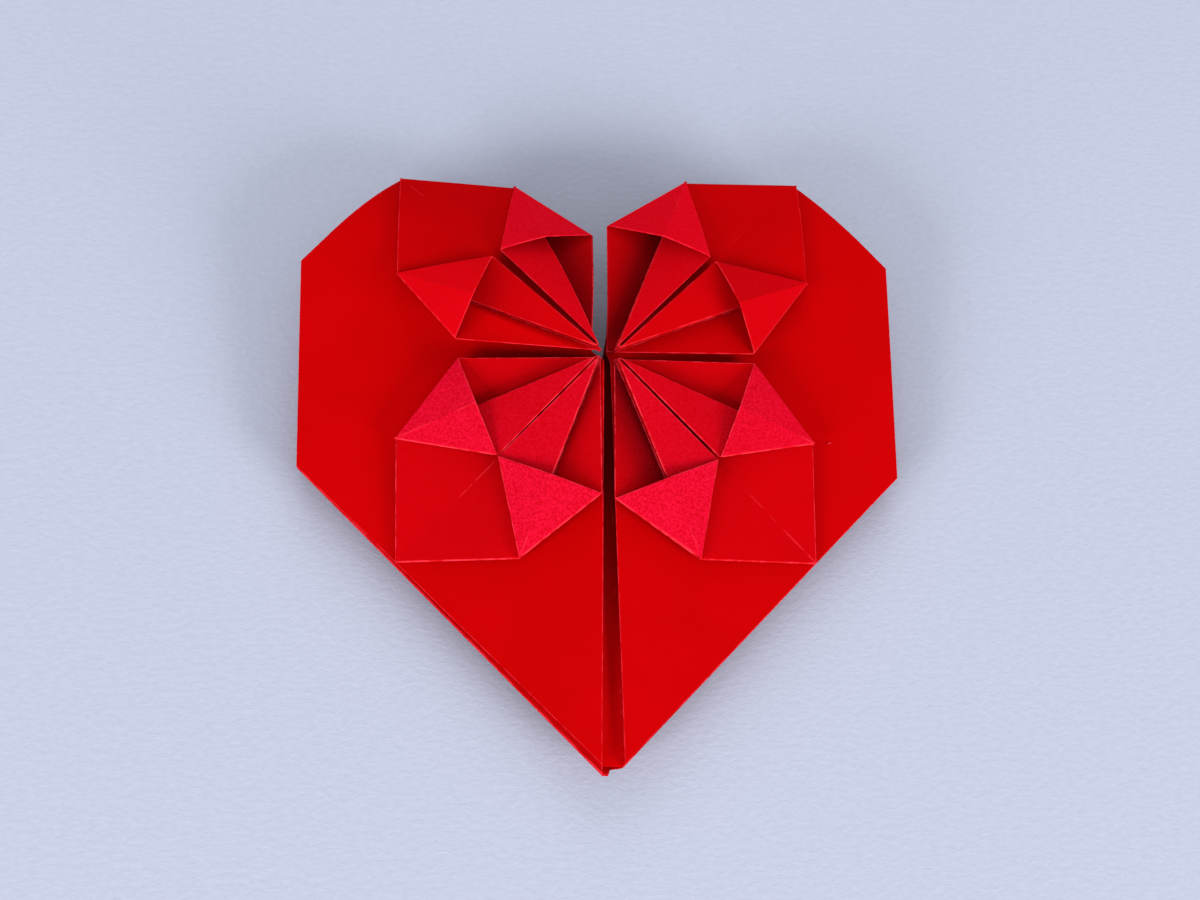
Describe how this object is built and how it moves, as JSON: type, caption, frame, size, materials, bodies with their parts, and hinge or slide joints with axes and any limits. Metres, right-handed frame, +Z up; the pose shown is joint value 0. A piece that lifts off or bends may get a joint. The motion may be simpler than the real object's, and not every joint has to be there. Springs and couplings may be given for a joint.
{
  "type": "origami heart",
  "caption": "Heart folded from a square sheet of red paper, with windmill flower petals opening from its centre and a slit between its arms; it lies flat on a table.",
  "frame": {"origin": "under the middle of the heart's box, on the table it lies on", "axes": "+Z up from the table through the flowered face, +Y from the tip of the heart towards the notch between its lobes, +X to the right as the flowers are seen"},
  "size_m": [0.0554, 0.056, 0.0107],
  "materials": {
    "paper": "uncoated red craft paper, the same colour on both sides, with paler worn folds"
  },
  "bodies": {
    "root": {"folded_sheet": "paper"}
  },
  "joints": []
}
